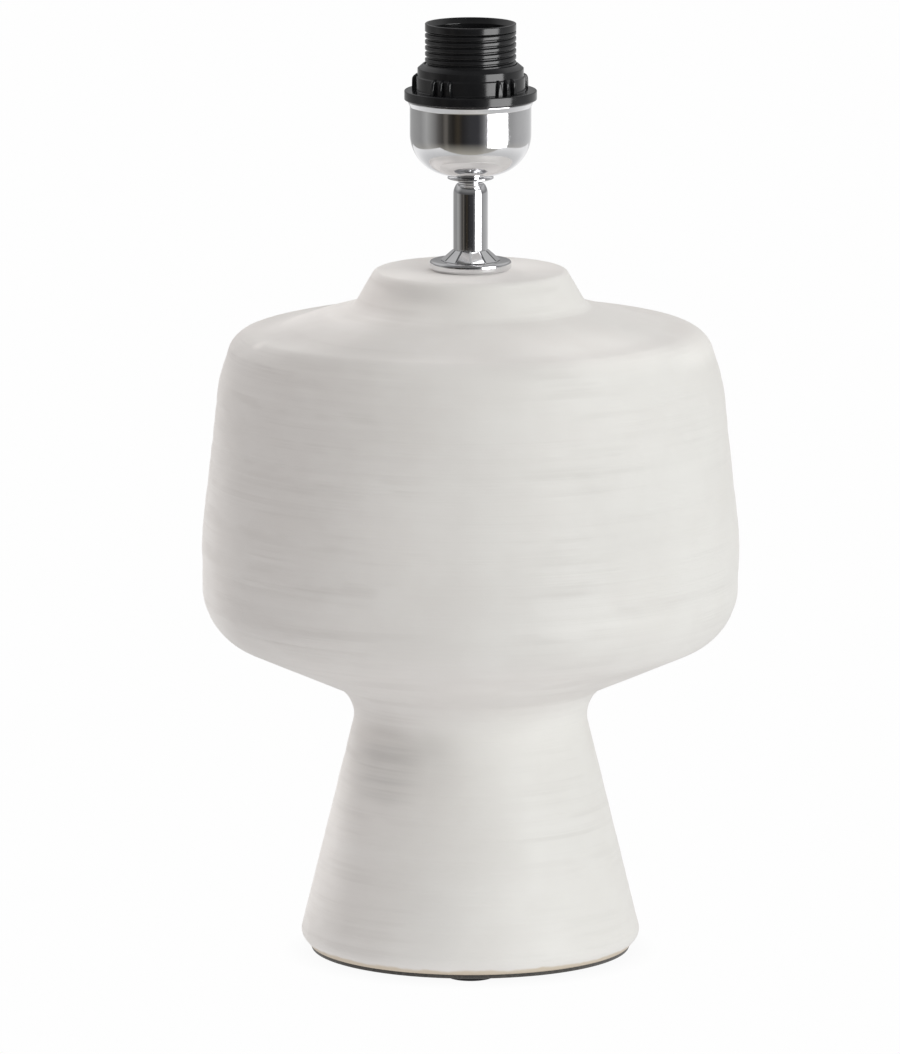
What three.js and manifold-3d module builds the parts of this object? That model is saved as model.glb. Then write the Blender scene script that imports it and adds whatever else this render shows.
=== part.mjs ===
// Table lamp base: a glazed ceramic body, a chrome neck and cup, and a screw lampholder with a shade ring.
// Millimetres, +Z up. The origin is on the table, under the middle of the foot.
import * as THREE from 'three';
import { mergeVertices } from 'three/addons/utils/BufferGeometryUtils.js';
import Module from 'manifold-3d';

const wasm = await Module();
wasm.setup();

// Fits that several pieces share.
const runningGap = 0.3; // between pieces that slide, turn or plug into each other
const threadGap = 0.15; // between the nipple and what it passes through
const cutOverrun = 1; // how far a cutter runs past the face that it cuts

// How finely round shapes are divided.
const bodySegments = 40;
const holderSegments = 28;
const smallSegments = 20;
const outsideArcStep = 18; // degrees of turn in each step of a rounded corner
const insideArcStep = 45;
const hiddenArcStep = 90;

// Pads and felt under the foot.
const padRadius = 10.2;
const padThickness = 1.7;
const padChamfer = 0.4;
const padInset = 2.8; // from the felt's edge to a pad's
const padCount = 4;
const feltThickness = 1.8;
const feltInset = 0.5; // the felt stops this far inside the edge of the foot

// Ceramic body. Heights count up from its underside, each from the corner below it.
const wall = 6;
const topWall = 7;
const footRimRadius = 70;
const footLand = 8; // width of the ring that the body stands on
const footLandRise = 6;
const footRadius = 74.4;
const footRise = 5.1;
const footRounding = 5;
const waistRadius = 48.45;
const waistRise = 105.4;
const waistRounding = 15;
const drumRadius = 117.3; // the widest point, at the belly
const drumFootInset = 1.1;
const drumFootRise = 30.3;
const drumFootRounding = 25;
const bellyRise = 38.7;
const bellyRounding = 60;
const flankInset = 7.6;
const flankRise = 69.6;
const flankRounding = 60;
const shoulderInset = 14.6;
const shoulderRise = 21.8;
const shoulderRounding = 15;
const slopeInset = 30.8;
const slopeRise = 1.4;
const slopeRounding = 40;
const collarFootRadius = 50.8;
const collarFootRise = 9.6;
const collarFootRounding = 6;
const collarTopInset = 9;
const collarRise = 15.4;
const collarTopRounding = 3;

// Cord hole and its bush, low on the back of the foot.
const cordHoleMargin = 0.6; // from the foot's inner corner to the bush's flange
const cordHoleRadius = 5.5;
const grommetBoreRadius = 3.5;
const grommetFlangeReach = 2.2;
const grommetFlangeThickness = 1.5;
const grommetRounding = 0.6;

// Threaded rod and its nuts and washers.
const nippleRadius = 5;
const nippleBoreRadius = 3.5;
const nippleTail = 4; // how far the rod stands out of the lower nut
const bodyHoleGap = 0.8; // the hole in the ceramic is this much wider all round
const nutFlatsShare = 1.4; // width across flats, as a share of the rod's diameter
const nutHeight = 4;
const cupNutHeight = 3;
const rubberWasherRadius = 15;
const rubberWasherThickness = 2;
const steelWasherRadius = 14;
const steelWasherThickness = 1.5;

// Chrome fittings on top of the ceramic.
const capRadius = 17.75;
const capHeight = 4.2;
const capRounding = 1.4;
const seatFootRadius = 13.25;
const seatTopReach = 0.25; // the seat's top is this much wider than the neck tube
const seatHeight = 4.8;
const seatFacets = 12;
const neckRadius = 7.5;
const neckWall = 1;
const neckLength = 24.5;
const neckShoulderHeight = 4.3;
const neckShoulderRounding = 2.6;
const flareRadius = 8.8;
const flareHeight = 2;
const flareWall = 0.35;
const neckWasherRadius = 10;
const neckWasherThickness = 0.8;

// Bulb socket. The sleeve sets the barrel round it, and the barrel sets the ring and the cup.
const sleeveRadius = 13.5; // inside, to take a bulb cap of 26.4 across
const sleeveWall = 0.5;
const sleeveFootWidth = 5.5;
const barrelRoom = 3.5; // between the sleeve and the barrel's inner wall
const barrelWall = 2.25;
const barrelExposed = 17.6; // how much of the barrel stands above the ring
const mouthDepth = 10;
const mouthReach = 0.2; // the mouth's edge turns in by this much
const ledgeThickness = 2;
const ledgeGap = 0.7; // between the sleeve's inner face and the ledge's edge
const barrelRounding = 0.5;

// Shade ring.
const flangeWidth = 5.7;
const flangeThickness = 4.2;
const ringWall = 2.95;
const ringCollarHeight = 9.1;
const ringChamferHeight = 2.4;
const ringLipWidth = 0.55;
const ringRounding = 0.5;
const ribBandHeight = 5.8; // the ribs and the slimmer band that they stand on
const ribBandInset = 0.35;
const ribGroups = 5;
const ribsPerGroup = 3;
const ribPitchDegrees = 9.5;
const firstGroupDegrees = 22; // from +X, so that one group looks forward and to the left
const ribWidth = 1.7;
const ribReach = 2.4;
const ribRoot = 1;

// Chrome cup round the bottom of the lampholder.
const cupRoom = 6.55; // from the barrel to the outside of the cup
const cupWall = 0.8;
const cupHeight = 32.5;
const cupFloorMargin = 0.2; // flat floor beyond the corners of the nut
const cupHubWall = 0.7;
const cupHubHeight = 0.9;
const lipReach = 0.95;
const lipHeight = 1.8;
const lipRounding = 0.7;

// Lampholder dome and contact block.
const domeGap = 2.7; // between the dome and the cup
const domeWall = 2.4;
const domeShoulderDrop = 8.4; // from the cup's lip down to the seat of the barrel
const spigotHeight = 8;
const spigotWall = 2.4;
const entryHeight = 3.5;
const entryWall = 3;
const blockRimHeight = 6;
const blockHubHeight = 8;

// Contacts, terminals and their fixings.
const stripThickness = 0.5;
const stripWidth = 5;
const liveRivetOffset = 5; // from the axis
const rivetRadius = 1.2;
const rivetHeadRadius = 1.9;
const rivetHeadHeight = 0.8;
const tongueReach = 3.2; // past the axis
const tongueTipReach = 1.4;
const tongueRise = 3.4;
const tongueTipDrop = 1.4;
const terminalWidth = 5;
const terminalDepth = 6;
const terminalHeight = 7.5;
const wireHoleRadius = 1.4;
const screwRadius = 1.2;
const screwLength = 2.6;
const screwHeadRadius = 2.1;
const screwHeadHeight = 1.5;

// Places that follow from the sizes above.
const bodyBase = padThickness + feltThickness;
const feltRadius = footRimRadius - feltInset;
const padCircleRadius = feltRadius - padInset - padRadius;
const nippleHole = nippleRadius + threadGap;
const nutFlats = 2 * nippleRadius * nutFlatsShare;
const nutCornerRadius = nutFlats / Math.sqrt(3);
const drumFootHeight = footRise + waistRise + drumFootRise;
const shoulderHeight = drumFootHeight + bellyRise + flankRise + shoulderRise;
const bodyTop = bodyBase + shoulderHeight + slopeRise + collarFootRise + collarRise;

const seatBase = bodyTop + capHeight;
const neckBase = seatBase + seatHeight;
const neckTop = neckBase + neckLength + neckShoulderHeight;
const washerBase = neckTop + flareHeight;
const cupHubBase = washerBase + neckWasherThickness;
const cupBase = cupHubBase + cupHubHeight;
const cupFloor = cupBase + cupWall;
const cupTop = cupBase + cupHeight;

const barrelInside = sleeveRadius + sleeveWall + barrelRoom;
const barrelRadius = barrelInside + barrelWall;
const ringBore = barrelRadius + runningGap;
const ringCollarRadius = ringBore + ringWall;
const flangeRadius = ringCollarRadius + flangeWidth;
const ringBase = cupTop + runningGap;
const ringCollarBase = ringBase + flangeThickness;
const ribBandTop = ringCollarBase + ribBandHeight;
const ringCollarTop = ringCollarBase + ringCollarHeight;
const ringTop = ringCollarTop + ringChamferHeight;
const barrelTop = ringTop + barrelExposed;
const ledgeTop = barrelTop - mouthDepth;
const sleeveTop = ledgeTop - ledgeThickness;

const cupRadius = barrelRadius + cupRoom;
const cupFloorRadius = nutCornerRadius + cupFloorMargin;
const cupRounding = cupRadius - cupFloorRadius;
const domeRadius = cupRadius - cupWall - domeGap;
const domeBase = cupFloor + cupNutHeight;
const domeShoulder = cupTop - domeShoulderDrop;
const spigotRadius = barrelInside - runningGap;
const spigotInside = spigotRadius - spigotWall;
const spigotTop = domeShoulder + spigotHeight;
const entryTop = domeBase + domeWall + entryHeight;
const blockTop = spigotTop + blockRimHeight;
const blockBottom = spigotTop - blockHubHeight;
const terminalTop = blockBottom + terminalHeight;
const sleeveFootInside = sleeveRadius - sleeveFootWidth;
const sleeveRivetOffset = sleeveRadius - sleeveFootWidth / 2;

const underTop = bodyTop - topWall;
const steelWasherBase = underTop - rubberWasherThickness - steelWasherThickness;
const nutBase = steelWasherBase - nutHeight;

const glaze = new THREE.MeshStandardMaterial({ color: 0xe9e6e1, roughness: 0.38, metalness: 0 });
const felt = new THREE.MeshStandardMaterial({ color: 0x3a3532, roughness: 1, metalness: 0 });
const blackRubber = new THREE.MeshStandardMaterial({ color: 0x1d1c1c, roughness: 0.8, metalness: 0 });
const chrome = new THREE.MeshStandardMaterial({ color: 0xc9cbcd, roughness: 0.08, metalness: 1 });
const zincSteel = new THREE.MeshStandardMaterial({ color: 0xa9abac, roughness: 0.35, metalness: 1 });
const blackPlastic = new THREE.MeshStandardMaterial({ color: 0x17171a, roughness: 0.22, metalness: 0 });
const insulator = new THREE.MeshStandardMaterial({ color: 0x1f1f20, roughness: 0.6, metalness: 0 });
const nickel = new THREE.MeshStandardMaterial({ color: 0xb9b3a6, roughness: 0.25, metalness: 1 });
const brass = new THREE.MeshStandardMaterial({ color: 0xb58f4b, roughness: 0.3, metalness: 1 });

const lamp = new THREE.Group();

function addPiece(name, geometry, material, parent = lamp) {
  const mesh = new THREE.Mesh(geometry, material);
  mesh.name = name;
  parent.add(mesh);
  return mesh;
}

// Corners are [radius, height, rounding]. Each rounding becomes an arc that touches both sides of its corner,
// no longer than the shorter of them allows.
function roundedPath(corners, stepDegrees) {
  const points = [];
  corners.forEach(([r, z, rounding = 0], i) => {
    const at = new THREE.Vector2(r, z);
    const before = corners[i - 1];
    const after = corners[i + 1];
    if (!rounding || !before || !after) {
      points.push(at);
      return;
    }
    points.push(...cornerArc(new THREE.Vector2(before[0], before[1]), at, new THREE.Vector2(after[0], after[1]),
      rounding, stepDegrees));
  });
  return points;
}

function cornerArc(before, at, after, rounding, stepDegrees) {
  const back = before.clone().sub(at);
  const ahead = after.clone().sub(at);
  const sideShare = 0.49;
  const room = sideShare * Math.min(back.length(), ahead.length());
  const halfAngle = Math.acos(THREE.MathUtils.clamp(back.dot(ahead) / back.length() / ahead.length(), -1, 1)) / 2;
  const tangent = Math.min(rounding / Math.tan(halfAngle), room);
  const radius = tangent * Math.tan(halfAngle);
  const start = at.clone().addScaledVector(back.normalize(), tangent);
  const end = at.clone().addScaledVector(ahead.normalize(), tangent);
  const middle = at.clone().addScaledVector(back.add(ahead).normalize(), radius / Math.sin(halfAngle));
  const from = start.clone().sub(middle).angle();
  const to = end.clone().sub(middle).angle();
  const turn = THREE.MathUtils.euclideanModulo(to - from + Math.PI, 2 * Math.PI) - Math.PI;
  const steps = Math.max(1, Math.ceil(Math.abs(THREE.MathUtils.radToDeg(turn)) / stepDegrees));
  return Array.from({ length: steps + 1 }, (_, k) => {
    const angle = from + (turn * k) / steps;
    return new THREE.Vector2(middle.x + radius * Math.cos(angle), middle.y + radius * Math.sin(angle));
  });
}

// Revolves a path round +Z. The path runs up the outside and comes back down the inside.
function turned(path, segments) {
  return new THREE.LatheGeometry(path, segments).rotateX(Math.PI / 2);
}

function turnedRing(corners, segments, stepDegrees = insideArcStep) {
  const path = roundedPath(corners, stepDegrees);
  return turned([...path, path[0].clone()], segments);
}

function washer(innerRadius, outerRadius, base, height, segments = smallSegments) {
  return turnedRing([
    [innerRadius, base],
    [outerRadius, base],
    [outerRadius, base + height],
    [innerRadius, base + height],
  ], segments);
}

function cylinder(radius, base, height, segments = smallSegments) {
  return new THREE.CylinderGeometry(radius, radius, height, segments)
    .rotateX(Math.PI / 2)
    .translate(0, 0, base + height / 2);
}

function box(width, depth, height, x, y, base) {
  return new THREE.BoxGeometry(width, depth, height).translate(x, y, base + height / 2);
}

function solidOf(geometry) {
  const bare = geometry.clone();
  bare.deleteAttribute('normal');
  bare.deleteAttribute('uv');
  const merged = mergeVertices(bare);
  return new wasm.Manifold(new wasm.Mesh({
    numProp: 3,
    vertProperties: Float32Array.from(merged.attributes.position.array),
    triVerts: Uint32Array.from(merged.index.array),
  }));
}

function geometryOf(solid) {
  const mesh = solid.getMesh();
  const geometry = new THREE.BufferGeometry();
  geometry.setAttribute('position', new THREE.BufferAttribute(Float32Array.from(mesh.vertProperties), 3));
  geometry.setIndex(new THREE.BufferAttribute(Uint32Array.from(mesh.triVerts), 1));
  geometry.computeVertexNormals();
  return geometry;
}

function cut(geometry, cutters) {
  return geometryOf(cutters.reduce((solid, cutter) => solid.subtract(solidOf(cutter)), solidOf(geometry)));
}

function join(geometry, additions) {
  return geometryOf(additions.reduce((solid, addition) => solid.add(solidOf(addition)), solidOf(geometry)));
}

// Ceramic body.

function bodyCorners() {
  const waistHeight = footRise + waistRise;
  const bellyHeight = drumFootHeight + bellyRise;
  const flankHeight = bellyHeight + flankRise;
  const slopeHeight = shoulderHeight + slopeRise;
  const collarFootHeight = slopeHeight + collarFootRise;
  return [
    [footRimRadius, 0],
    [footRadius, footRise, footRounding],
    [waistRadius, waistHeight, waistRounding],
    [drumRadius - drumFootInset, drumFootHeight, drumFootRounding],
    [drumRadius, bellyHeight, bellyRounding],
    [drumRadius - flankInset, flankHeight, flankRounding],
    [drumRadius - shoulderInset, shoulderHeight, shoulderRounding],
    [drumRadius - slopeInset, slopeHeight, slopeRounding],
    [collarFootRadius, collarFootHeight, collarFootRounding],
    [collarFootRadius - collarTopInset, collarFootHeight + collarRise, collarTopRounding],
  ];
}

// The line of a side from one corner to the next, moved in by a distance.
function inwardSide([r0, z0], [r1, z1], distance) {
  const run = Math.hypot(r1 - r0, z1 - z0);
  const along = [(r1 - r0) / run, (z1 - z0) / run];
  return { from: [r0 - along[1] * distance, z0 + along[0] * distance], along };
}

function crossProduct(a, b) {
  return a[0] * b[1] - a[1] * b[0];
}

function crossing(a, b) {
  const between = [b.from[0] - a.from[0], b.from[1] - a.from[1]];
  const reach = crossProduct(between, b.along) / crossProduct(a.along, b.along);
  return [a.from[0] + reach * a.along[0], a.from[1] + reach * a.along[1]];
}

// The inner face follows the outline at the wall's thickness, from the foot to the underside of the top.
function innerCorners(corners) {
  const top = corners[corners.length - 1];
  const sides = corners.slice(1, -1).map((corner, i) => inwardSide(corner, corners[i + 2], wall));
  sides.push(inwardSide(top, [0, top[1]], topWall));
  const bends = sides.slice(1).map((side, i) => {
    const rounding = corners[i + 2][2];
    const isHollow = crossProduct(sides[i].along, side.along) < 0;
    return [...crossing(sides[i], side), isHollow ? rounding + wall : Math.max(rounding - wall, wall / 2)];
  });
  const landTop = { from: [0, footLand + footLandRise], along: [1, 0] };
  return [
    [footRimRadius - footLand, 0],
    [footRimRadius - footLand, footLandRise, footLand / 2],
    crossing(sides[0], landTop),
    ...bends,
    [nippleRadius + bodyHoleGap, top[1] - topWall],
  ];
}

function coneSide() {
  const slope = Math.atan2(footRadius - waistRadius, waistRise);
  const flangeReach = (cordHoleRadius + grommetFlangeReach) * Math.cos(slope);
  const flangeDepth = (wall + runningGap + grommetFlangeThickness) * Math.sin(slope);
  const height = footLand + footLandRise + cordHoleMargin + flangeReach + flangeDepth;
  const radius = footRadius - (height - footRise) * Math.tan(slope);
  return { slope, height, radius };
}

// A frame whose own +Z points straight out of the wall at the cord hole.
function cordHoleFrame() {
  const { slope, height, radius } = coneSide();
  const frame = new THREE.Group();
  frame.rotation.x = -(Math.PI / 2 - slope);
  frame.position.set(
    0,
    radius - (wall / 2) * Math.cos(slope),
    bodyBase + height - (wall / 2) * Math.sin(slope),
  );
  frame.updateMatrixWorld();
  return frame;
}

function makeBody() {
  const corners = bodyCorners();
  const top = corners[corners.length - 1][1];
  const outside = roundedPath([...corners, [nippleRadius + bodyHoleGap, top]], outsideArcStep);
  const inside = roundedPath(innerCorners(corners), hiddenArcStep).reverse();
  const shell = turned([...outside, ...inside, outside[0].clone()], bodySegments).translate(0, 0, bodyBase);
  const hole = cylinder(cordHoleRadius, -wall - cutOverrun, 2 * (wall + cutOverrun))
    .applyMatrix4(cordHoleFrame().matrixWorld);
  addPiece('ceramic_body', cut(shell, [hole]), glaze);
}

function makeGrommet() {
  const { radius } = coneSide();
  const flangeRadiusHere = cordHoleRadius + grommetFlangeReach;
  const neckRadiusHere = cordHoleRadius - runningGap;
  const insideRadius = radius - wall;
  const hollowing = insideRadius - Math.sqrt(insideRadius ** 2 - flangeRadiusHere ** 2);
  const outerFace = wall / 2 + runningGap;
  const innerFace = -(wall / 2 + runningGap + hollowing);
  const bush = turnedRing([
    [grommetBoreRadius, innerFace - grommetFlangeThickness],
    [flangeRadiusHere, innerFace - grommetFlangeThickness, grommetRounding],
    [flangeRadiusHere, innerFace],
    [neckRadiusHere, innerFace],
    [neckRadiusHere, outerFace],
    [flangeRadiusHere, outerFace],
    [flangeRadiusHere, outerFace + grommetFlangeThickness, grommetRounding],
    [grommetBoreRadius, outerFace + grommetFlangeThickness],
  ], smallSegments);
  const frame = cordHoleFrame();
  addPiece('cord_grommet', bush, blackRubber, frame);
  lamp.add(frame);
}

function makeFoot() {
  addPiece('base_felt', cylinder(feltRadius, padThickness, feltThickness, bodySegments), felt);
  const profile = roundedPath([
    [0, 0],
    [padRadius - padChamfer, 0],
    [padRadius, padChamfer],
    [padRadius, padThickness],
    [0, padThickness],
  ], insideArcStep);
  for (let i = 0; i < padCount; i += 1) {
    const angle = (2 * Math.PI * i) / padCount - Math.PI / 2;
    const pad = addPiece(`foot_pad_${i + 1}`, turned(profile, smallSegments), blackRubber);
    pad.position.set(padCircleRadius * Math.cos(angle), padCircleRadius * Math.sin(angle), 0);
  }
}

// Threaded rod, with what clamps it under the top of the ceramic and on the floor of the cup.

function hexNut(base, height) {
  const outline = new THREE.Shape();
  for (let i = 0; i < 6; i += 1) {
    const angle = (Math.PI * i) / 3;
    const x = nutCornerRadius * Math.cos(angle);
    const y = nutCornerRadius * Math.sin(angle);
    if (i === 0) outline.moveTo(x, y);
    else outline.lineTo(x, y);
  }
  outline.closePath();
  outline.holes.push(new THREE.Path().absarc(0, 0, nippleHole, 0, 2 * Math.PI, true));
  const settings = { depth: height, bevelEnabled: false, curveSegments: smallSegments };
  return new THREE.ExtrudeGeometry(outline, settings).translate(0, 0, base);
}

function makeRod() {
  const base = nutBase - nippleTail;
  addPiece('m10_nipple', washer(nippleBoreRadius, nippleRadius, base, entryTop - base), zincSteel);
  addPiece('rubber_washer',
    washer(nippleHole, rubberWasherRadius, underTop - rubberWasherThickness, rubberWasherThickness), blackRubber);
  addPiece('steel_washer', washer(nippleHole, steelWasherRadius, steelWasherBase, steelWasherThickness), zincSteel);
  addPiece('base_nut', hexNut(nutBase, nutHeight), zincSteel);
  addPiece('cup_nut', hexNut(cupFloor, cupNutHeight), zincSteel);
}

// Chrome fittings between the ceramic and the cup.

function makeNeck() {
  addPiece('vase_cap', turnedRing([
    [nippleHole, bodyTop],
    [capRadius, bodyTop, capRounding / 2],
    [capRadius, seatBase, capRounding],
    [nippleHole, seatBase],
  ], holderSegments), chrome);

  const facetBore = nippleHole / Math.cos(Math.PI / seatFacets);
  addPiece('seat_ring', turnedRing([
    [facetBore, seatBase],
    [seatFootRadius, seatBase],
    [neckRadius + seatTopReach, neckBase],
    [facetBore, neckBase],
  ], seatFacets), chrome);

  const shoulderBase = neckBase + neckLength;
  addPiece('neck_tube', turnedRing([
    [neckRadius - neckWall, neckBase],
    [neckRadius, neckBase],
    [neckRadius, shoulderBase, neckShoulderRounding],
    [nippleHole + neckWall / 2, neckTop, neckWall / 2],
    [nippleHole, neckTop],
    [nippleHole, neckTop - neckWall],
    [neckRadius - neckWall, shoulderBase - neckWall / 2, neckShoulderRounding - neckWall],
  ], smallSegments, outsideArcStep), chrome);

  const flareTop = washerBase;
  addPiece('flared_collar', turnedRing([
    [nippleHole, neckTop],
    [nippleHole + flareWall, neckTop],
    [nippleHole + flareWall, neckTop + flareHeight / 2, flareHeight],
    [flareRadius, flareTop - flareWall],
    [flareRadius, flareTop],
    [nippleHole, flareTop],
  ], smallSegments, outsideArcStep), chrome);

  addPiece('neck_washer', washer(nippleHole, neckWasherRadius, washerBase, neckWasherThickness), chrome);
}

// Cup and the plastic lampholder in it.

function makeCup() {
  const lipBase = cupTop - lipHeight;
  addPiece('holder_cup', turnedRing([
    [nippleHole, cupHubBase],
    [nippleHole + cupHubWall, cupHubBase],
    [nippleHole + cupHubWall, cupBase],
    [cupFloorRadius, cupBase],
    ...quarterRound(cupFloorRadius, cupBase, cupRounding),
    [cupRadius, lipBase],
    [cupRadius + lipReach, lipBase, lipRounding],
    [cupRadius + lipReach, cupTop, lipRounding],
    [cupRadius - cupWall, cupTop],
    ...quarterRound(cupFloorRadius, cupFloor, cupRounding - cupWall).reverse(),
    [cupFloorRadius, cupFloor],
    [nippleHole, cupFloor],
  ], holderSegments), chrome);
}

// Points of a quarter circle that leaves a flat floor at its edge and ends on a vertical wall.
function quarterRound(floorRadius, floorHeight, radius) {
  const steps = Math.round(90 / outsideArcStep) + 1;
  return Array.from({ length: steps }, (_, k) => {
    const angle = (Math.PI / 2) * ((k + 1) / steps);
    return [floorRadius + radius * Math.sin(angle), floorHeight + radius * (1 - Math.cos(angle))];
  });
}

function makeDome() {
  const outerRounding = domeRadius - cupFloorRadius;
  const innerRounding = outerRounding - domeWall;
  const floor = domeBase + domeWall;
  addPiece('holder_dome', turnedRing([
    [nippleHole, domeBase],
    [domeRadius, domeBase, outerRounding],
    [domeRadius, domeShoulder],
    [spigotRadius, domeShoulder],
    [spigotRadius, spigotTop],
    [spigotInside, spigotTop],
    [spigotInside, domeShoulder - domeWall],
    [domeRadius - domeWall, domeShoulder - domeWall],
    [domeRadius - domeWall, floor, innerRounding],
    [nippleHole + entryWall, floor],
    [nippleHole + entryWall, entryTop],
    [nippleHole, entryTop],
  ], holderSegments), blackPlastic);
}

function makeBarrel() {
  const ledgeInside = sleeveRadius + ledgeGap;
  addPiece('threaded_barrel', turnedRing([
    [barrelInside, domeShoulder],
    [barrelRadius, domeShoulder],
    [barrelRadius, barrelTop, barrelRounding],
    [barrelInside - mouthReach, barrelTop, barrelRounding],
    [barrelInside - mouthReach, ledgeTop, ledgeThickness],
    [ledgeInside, ledgeTop - ledgeThickness / 2],
    [ledgeInside, sleeveTop],
    [barrelInside, sleeveTop],
  ], holderSegments), blackPlastic);
}

// One rib stands on the flange and leans on the collar. Its outer top edge is rounded.
function rib() {
  const inner = ringCollarRadius - ribRoot;
  const outer = ringCollarRadius + ribReach;
  const bottom = ringBase + flangeThickness / 2;
  const top = ribBandTop - ribBandInset;
  const side = new THREE.Shape();
  side.moveTo(inner, bottom);
  side.lineTo(outer, bottom);
  side.lineTo(outer, top - ribReach);
  side.absarc(outer - ribReach, top - ribReach, ribReach, 0, Math.PI / 2, false);
  side.lineTo(inner, top);
  side.closePath();
  const settings = { depth: ribWidth, bevelEnabled: false, curveSegments: Math.round(90 / insideArcStep) + 1 };
  return new THREE.ExtrudeGeometry(side, settings).translate(0, 0, -ribWidth / 2).rotateX(Math.PI / 2);
}

function makeShadeRing() {
  const lipRadius = ringBore + ringLipWidth;
  const ring = turnedRing([
    [ringBore, ringBase],
    [flangeRadius, ringBase, ringRounding],
    [flangeRadius, ringCollarBase, ringRounding],
    [ringCollarRadius - ribBandInset, ringCollarBase],
    [ringCollarRadius - ribBandInset, ribBandTop - ribBandInset],
    [ringCollarRadius, ribBandTop],
    [ringCollarRadius, ringCollarTop],
    [lipRadius, ringTop],
    [ringBore, ringTop],
  ], holderSegments);
  const ribs = [];
  for (let group = 0; group < ribGroups; group += 1) {
    for (let i = 0; i < ribsPerGroup; i += 1) {
      const fromMiddle = (i - (ribsPerGroup - 1) / 2) * ribPitchDegrees;
      const degrees = firstGroupDegrees + (360 * group) / ribGroups + fromMiddle;
      ribs.push(rib().rotateZ(THREE.MathUtils.degToRad(degrees)));
    }
  }
  addPiece('shade_ring', join(ring, ribs), blackPlastic);
}

// Contact block, with an open slot on its underside for each terminal.

const liveX = -liveRivetOffset;
const neutralX = sleeveRivetOffset;

function terminalSlot(x) {
  const depth = terminalDepth / 2 + runningGap + spigotRadius;
  const middle = depth / 2 - terminalDepth / 2 - runningGap;
  const height = terminalHeight + cutOverrun;
  return box(terminalWidth + 2 * runningGap, depth, height, x, middle, terminalTop - height);
}

function rivetHole(x) {
  const base = terminalTop - cutOverrun;
  return cylinder(rivetRadius + runningGap, base, blockTop + cutOverrun - base).translate(x, 0, 0);
}

function makeBlock() {
  const hubRadius = spigotInside - runningGap;
  const blank = turned(roundedPath([
    [0, blockBottom],
    [hubRadius, blockBottom],
    [hubRadius, spigotTop],
    [spigotRadius, spigotTop],
    [spigotRadius, blockTop],
    [0, blockTop],
  ], insideArcStep), holderSegments);
  const cutters = [liveX, neutralX].flatMap((x) => [terminalSlot(x), rivetHole(x)]);
  addPiece('contact_block', cut(blank, cutters), insulator);
}

function makeSleeve() {
  const sleeve = turnedRing([
    [sleeveFootInside, blockTop],
    [sleeveRadius + sleeveWall, blockTop],
    [sleeveRadius + sleeveWall, sleeveTop],
    [sleeveRadius, sleeveTop],
    [sleeveRadius, blockTop + sleeveWall],
    [sleeveFootInside, blockTop + sleeveWall],
  ], holderSegments);
  const hole = cylinder(rivetRadius + runningGap, blockTop - cutOverrun, sleeveWall + 2 * cutOverrun)
    .translate(neutralX, 0, 0);
  addPiece('screw_sleeve', cut(sleeve, [hole]), nickel);
}

// A flat strip bent along a line of [x, z] points, as wide as the contacts.
function bentStrip(points) {
  const line = points.map(([x, z]) => new THREE.Vector2(x, z));
  const offset = (sign) => line.map((point, i) => {
    const before = line[Math.max(i - 1, 0)];
    const after = line[Math.min(i + 1, line.length - 1)];
    const along = after.clone().sub(before).normalize();
    return point.clone().add(new THREE.Vector2(-along.y, along.x).multiplyScalar((sign * stripThickness) / 2));
  });
  const outline = new THREE.Shape([...offset(-1), ...offset(1).reverse()]);
  return new THREE.ExtrudeGeometry(outline, { depth: stripWidth, bevelEnabled: false })
    .translate(0, 0, -stripWidth / 2)
    .rotateX(Math.PI / 2);
}

function makeContacts() {
  const footHalf = rivetHeadRadius + runningGap;
  const foot = box(2 * footHalf, stripWidth, stripThickness, liveX, 0, blockTop);
  const hole = cylinder(rivetRadius + runningGap, blockTop - cutOverrun, stripThickness + 2 * cutOverrun)
    .translate(liveX, 0, 0);
  addPiece('live_foot', cut(foot, [hole]), brass);

  const tongueStart = liveX + footHalf + runningGap;
  const tongueBase = blockTop + stripThickness / 2 + runningGap;
  addPiece('centre_contact', bentStrip([
    [tongueStart, tongueBase],
    [0, tongueBase + tongueRise - tongueTipDrop / 2],
    [tongueTipReach, tongueBase + tongueRise],
    [tongueReach, tongueBase + tongueRise - tongueTipDrop],
  ]), brass);

  addRivet('live_rivet', liveX, blockTop + stripThickness);
  addRivet('neutral_rivet', neutralX, blockTop + sleeveWall);
}

function addRivet(name, x, headBase) {
  const profile = roundedPath([
    [0, terminalTop],
    [rivetRadius, terminalTop],
    [rivetRadius, headBase],
    [rivetHeadRadius, headBase],
    [rivetHeadRadius, headBase + rivetHeadHeight, rivetHeadHeight / 2],
    [0, headBase + rivetHeadHeight],
  ], insideArcStep);
  addPiece(name, turned(profile, smallSegments / 2), brass).position.x = x;
}

function makeTerminal(side, x) {
  const block = box(terminalWidth, terminalDepth, terminalHeight, x, 0, blockBottom);
  const wireHole = cylinder(wireHoleRadius, blockBottom - cutOverrun, terminalHeight / 2 + cutOverrun)
    .translate(x, 0, 0);
  const screwHeight = blockBottom + terminalHeight / 3;
  const alongY = (geometry) => geometry.rotateX(-Math.PI / 2).translate(x, terminalDepth / 2, screwHeight);
  const screwHole = alongY(cylinder(screwRadius + runningGap, -terminalDepth / 2, terminalDepth / 2 + cutOverrun));
  addPiece(`${side}_terminal`, cut(block, [wireHole, screwHole]), brass);

  const profile = roundedPath([
    [0, -screwLength],
    [screwRadius, -screwLength],
    [screwRadius, runningGap],
    [screwHeadRadius, runningGap],
    [screwHeadRadius, runningGap + screwHeadHeight],
    [0, runningGap + screwHeadHeight],
  ], insideArcStep);
  addPiece(`${side}_screw`, alongY(turned(profile, smallSegments / 2)), zincSteel);
}

makeFoot();
makeBody();
makeGrommet();
makeRod();
makeNeck();
makeCup();
makeDome();
makeBarrel();
makeShadeRing();
makeBlock();
makeSleeve();
makeContacts();
makeTerminal('live', liveX);
makeTerminal('neutral', neutralX);

export default lamp;
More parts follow.
